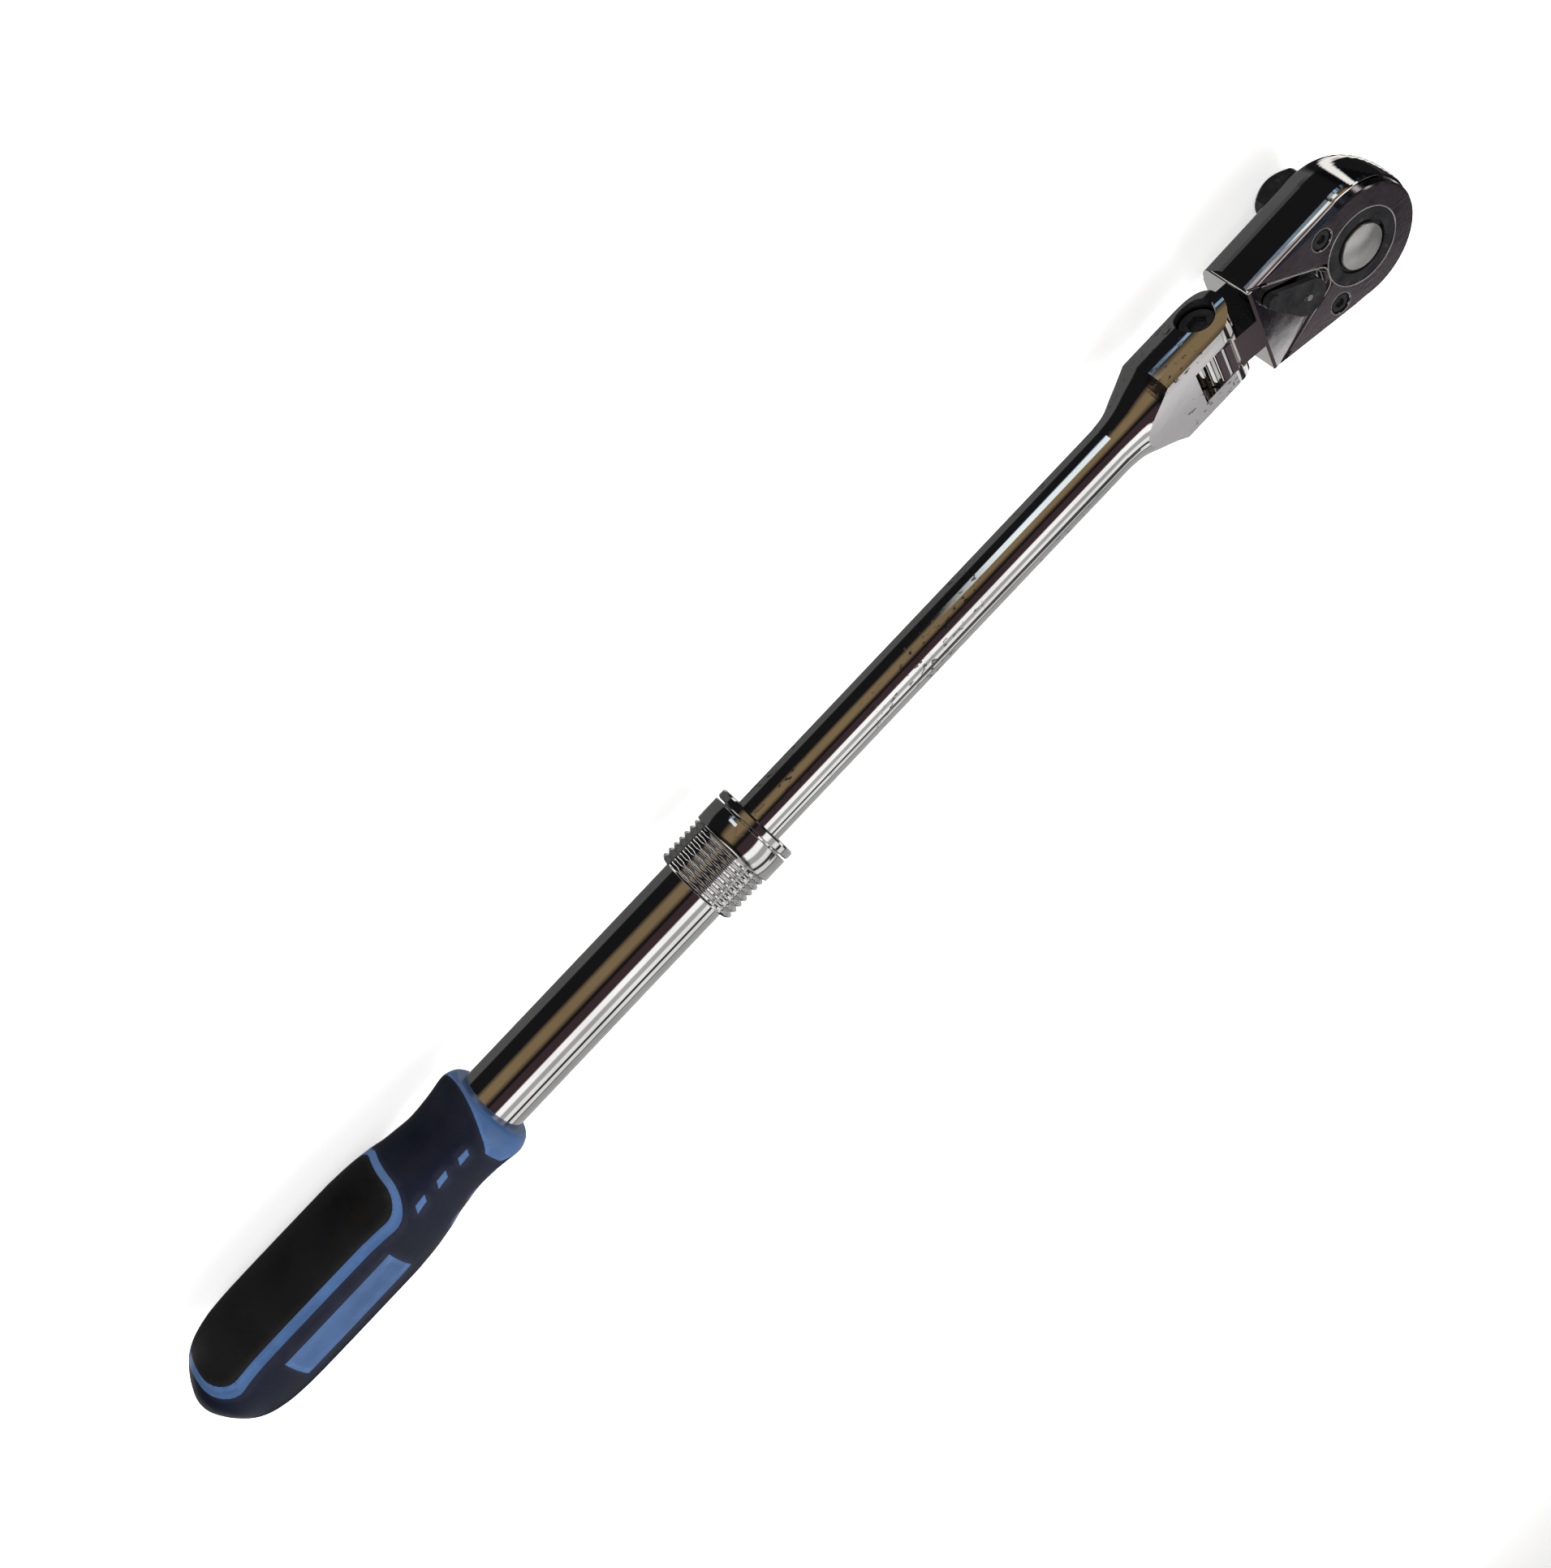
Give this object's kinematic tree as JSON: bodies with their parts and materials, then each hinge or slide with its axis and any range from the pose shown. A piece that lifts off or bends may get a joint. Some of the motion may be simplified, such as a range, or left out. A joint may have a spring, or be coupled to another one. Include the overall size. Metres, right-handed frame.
{
  "type": "extendable flex-head ratchet wrench",
  "caption": "Telescopic ratchet wrench: a square drive on a pivoting head, a shaft that draws out of a chrome tube and locks, and a moulded grip.",
  "frame": {"origin": "centre of the square drive's end face", "axes": "+X runs along the handle from the grip towards the head, +Z is the release button's side, and the head is flexed 7.5 degrees up from the handle's line"},
  "size_m": [0.446, 0.0368, 0.0375],
  "materials": {
    "chrome_tube": "polished chrome plate",
    "chrome_shaft": "polished chrome plate",
    "chrome_sleeve": "polished chrome plate",
    "chrome_head": "polished chrome plate",
    "satin_plate": "satin chrome",
    "hard_blue": "smooth hard plastic",
    "soft_navy": "soft moulded rubber",
    "soft_black": "soft moulded rubber with a fine grain",
    "black_steel": "black oxide",
    "steel": "ground steel",
    "spring_steel": "spring wire",
    "satin_button": "satin chrome",
    "wiper_rubber": "rubber",
    "guide_bronze": "bronze",
    "black_plastic": "plastic"
  },
  "bodies": {
    "handle": {"outer_tube": "chrome_tube", "tube_end_plug": "black_plastic", "grip_core": "hard_blue", "grip_overmold": "soft_navy", "palm_pads": "soft_black", "spring_seat_ring": "steel", "sleeve_spring": "spring_steel", "front_ring": "chrome_sleeve", "wiper_ring": "wiper_rubber"},
    "sleeve": {"lock_sleeve": "chrome_sleeve"},
    "side_ball": {"lock_ball_side": "steel"},
    "under_ball": {"lock_ball_under": "steel"},
    "shaft": {"yoke_shaft": "chrome_shaft", "rear_guide": "guide_bronze", "guide_clip": "spring_steel", "pivot_screw": "black_steel", "flex_washers": "steel", "flex_spring": "spring_steel"},
    "flex_plunger": {"flex_plunger": "steel"},
    "head": {"head_body": "chrome_head", "cover_plate": "satin_plate", "cover_screws": "black_steel"},
    "drive": {"drive_gear": "black_steel", "button_retainer": "black_steel", "button_spring": "spring_steel"},
    "button": {"release_button": "satin_button"},
    "drive_ball": {"drive_ball": "steel"},
    "lever": {"reverse_lever": "black_steel", "lever_pin": "steel", "selector_spring": "spring_steel"},
    "selector_plunger": {"selector_plunger": "steel"},
    "pawl": {"pawl": "steel"}
  },
  "joints": [
    {"name": "extension", "type": "slide", "parent": "handle", "child": "shaft", "axis": [1, 0, 0], "range_m": [-0.132, 0]},
    {"name": "sleeve_slide", "type": "slide", "parent": "handle", "child": "sleeve", "axis": [1, 0, 0], "range_m": [-0.004, 0], "stiffness_N_per_m": 800, "springref_m": 0.004, "deforming": ["sleeve_spring"]},
    {"name": "side_ball_lift", "type": "slide", "parent": "handle", "child": "side_ball", "axis": [0, -1, 0], "range_m": [0, 0.00125]},
    {"name": "under_ball_lift", "type": "slide", "parent": "handle", "child": "under_ball", "axis": [0, 0, -1], "range_m": [0, 0.00125]},
    {"name": "head_flex", "type": "hinge", "parent": "shaft", "child": "head", "pos_m": [-0.04765, 0, 0.02025], "axis": [0, -1, 0], "range_deg": [-97.5, 82.5]},
    {"name": "flex_plunger_slide", "type": "slide", "parent": "shaft", "child": "flex_plunger", "axis": [1, 0, 0], "range_m": [-0.001, 0], "stiffness_N_per_m": 4000, "springref_m": 0.002, "deforming": ["flex_spring"]},
    {"name": "drive_spin", "type": "hinge", "parent": "head", "child": "drive", "pos_m": [-0.00343, 0, 0.02608], "axis": [-0.1305, 0, 0.9914], "continuous": true},
    {"name": "button_press", "type": "slide", "parent": "drive", "child": "button", "axis": [-0.1305, 0, 0.9914], "range_m": [-0.0025, 0], "stiffness_N_per_m": 2000, "springref_m": 0.002, "deforming": ["button_spring"]},
    {"name": "drive_ball_retract", "type": "slide", "parent": "drive", "child": "drive_ball", "axis": [0.9914, 0, 0.1305], "range_m": [0, 0.0013]},
    {"name": "reverse", "type": "hinge", "parent": "head", "child": "lever", "pos_m": [-0.02187, 0, 0.02365], "axis": [-0.1305, 0, 0.9914], "range_deg": [0, 80]},
    {"name": "selector_plunger_slide", "type": "slide", "parent": "lever", "child": "selector_plunger", "axis": [0.7595, -0.6428, 0.1], "range_m": [-0.0008, 0], "stiffness_N_per_m": 1000, "springref_m": 0.001, "deforming": ["selector_spring"]},
    {"name": "pawl_shift", "type": "hinge", "parent": "head", "child": "pawl", "pos_m": [-0.00343, 0, 0.02608], "axis": [-0.1305, 0, 0.9914], "range_deg": [-8, 0]}
  ],
  "couplings": [
    {"joint": "side_ball_lift", "follows": "sleeve_slide", "ratio": -0.3125},
    {"joint": "under_ball_lift", "follows": "sleeve_slide", "ratio": -0.3125},
    {"joint": "drive_ball_retract", "follows": "button_press", "ratio": -0.52},
    {"joint": "pawl_shift", "follows": "reverse", "ratio": -0.1}
  ]
}
